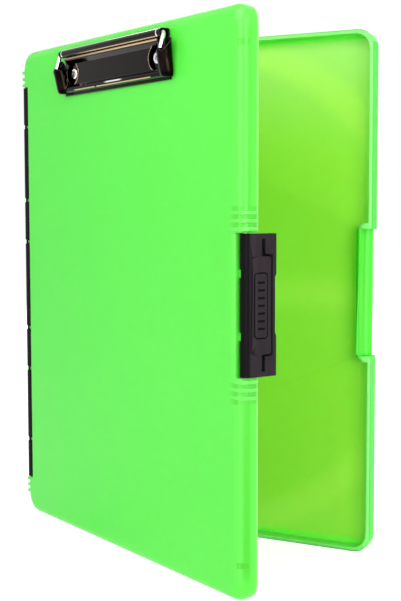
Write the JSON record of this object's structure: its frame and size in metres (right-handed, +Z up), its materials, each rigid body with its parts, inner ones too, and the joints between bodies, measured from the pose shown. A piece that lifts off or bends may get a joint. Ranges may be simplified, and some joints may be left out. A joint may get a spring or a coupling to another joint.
{
  "type": "storage clipboard box",
  "caption": "Shallow two-shell storage case with a book-style pinned spine, a swinging side latch and a low sprung paper clip on its lid.",
  "frame": {"origin": "middle of the tray's flat bottom edge, on the ground that the case stands on", "axes": "+Z up along the case's height, +Y out of the tray's flat back, +X from the spine to the latch"},
  "size_m": [0.2703, 0.1418, 0.343],
  "materials": {
    "green_tray": "translucent frosted polypropylene, fine satin",
    "green_lid": "translucent frosted polypropylene, fine satin",
    "black_plastic": "fine moulded texture",
    "latch_plastic": "fine spark-eroded texture",
    "dark_chrome": "black nickel plated sheet steel",
    "spring_wire": "bright drawn wire",
    "rivet_chrome": "bright plated",
    "pin_steel": "drawn wire",
    "washer_steel": "zinc plated"
  },
  "bodies": {
    "tray": {"tray": "green_tray"},
    "spine": {"spine": "black_plastic", "hinge_pin_rear": "pin_steel", "hinge_pin_front": "pin_steel"},
    "lid": {"lid": "green_lid", "clip_base": "dark_chrome", "rivet_left": "rivet_chrome", "rivet_right": "rivet_chrome", "washer_left": "washer_steel", "washer_right": "washer_steel", "latch_pin": "pin_steel"},
    "latch": {"latch": "latch_plastic"},
    "jaw": {"clip_jaw": "dark_chrome", "clip_spring": "spring_wire"}
  },
  "joints": [
    {"name": "spine_hinge", "type": "hinge", "parent": "tray", "child": "spine", "pos_m": [-0.13075, 0.00425, 0.1715], "axis": [0, 0, -1], "range_deg": [0, 95]},
    {"name": "lid_hinge", "type": "hinge", "parent": "spine", "child": "lid", "pos_m": [-0.13075, -0.01355, 0.1715], "axis": [0, 0, -1], "range_deg": [-26.3, 58.7]},
    {"name": "latch_hinge", "type": "hinge", "parent": "lid", "child": "latch", "pos_m": [0.10471, -0.12847, 0.1728], "axis": [0, 0, -1], "range_deg": [0, 60]},
    {"name": "jaw_hinge", "type": "hinge", "parent": "lid", "child": "jaw", "pos_m": [-0.01761, -0.07973, 0.3337], "axis": [-0.8965, 0.4431, 0], "range_deg": [0, 35], "stiffness_Nm_per_rad": 0.25, "springref_deg": -34.38}
  ]
}
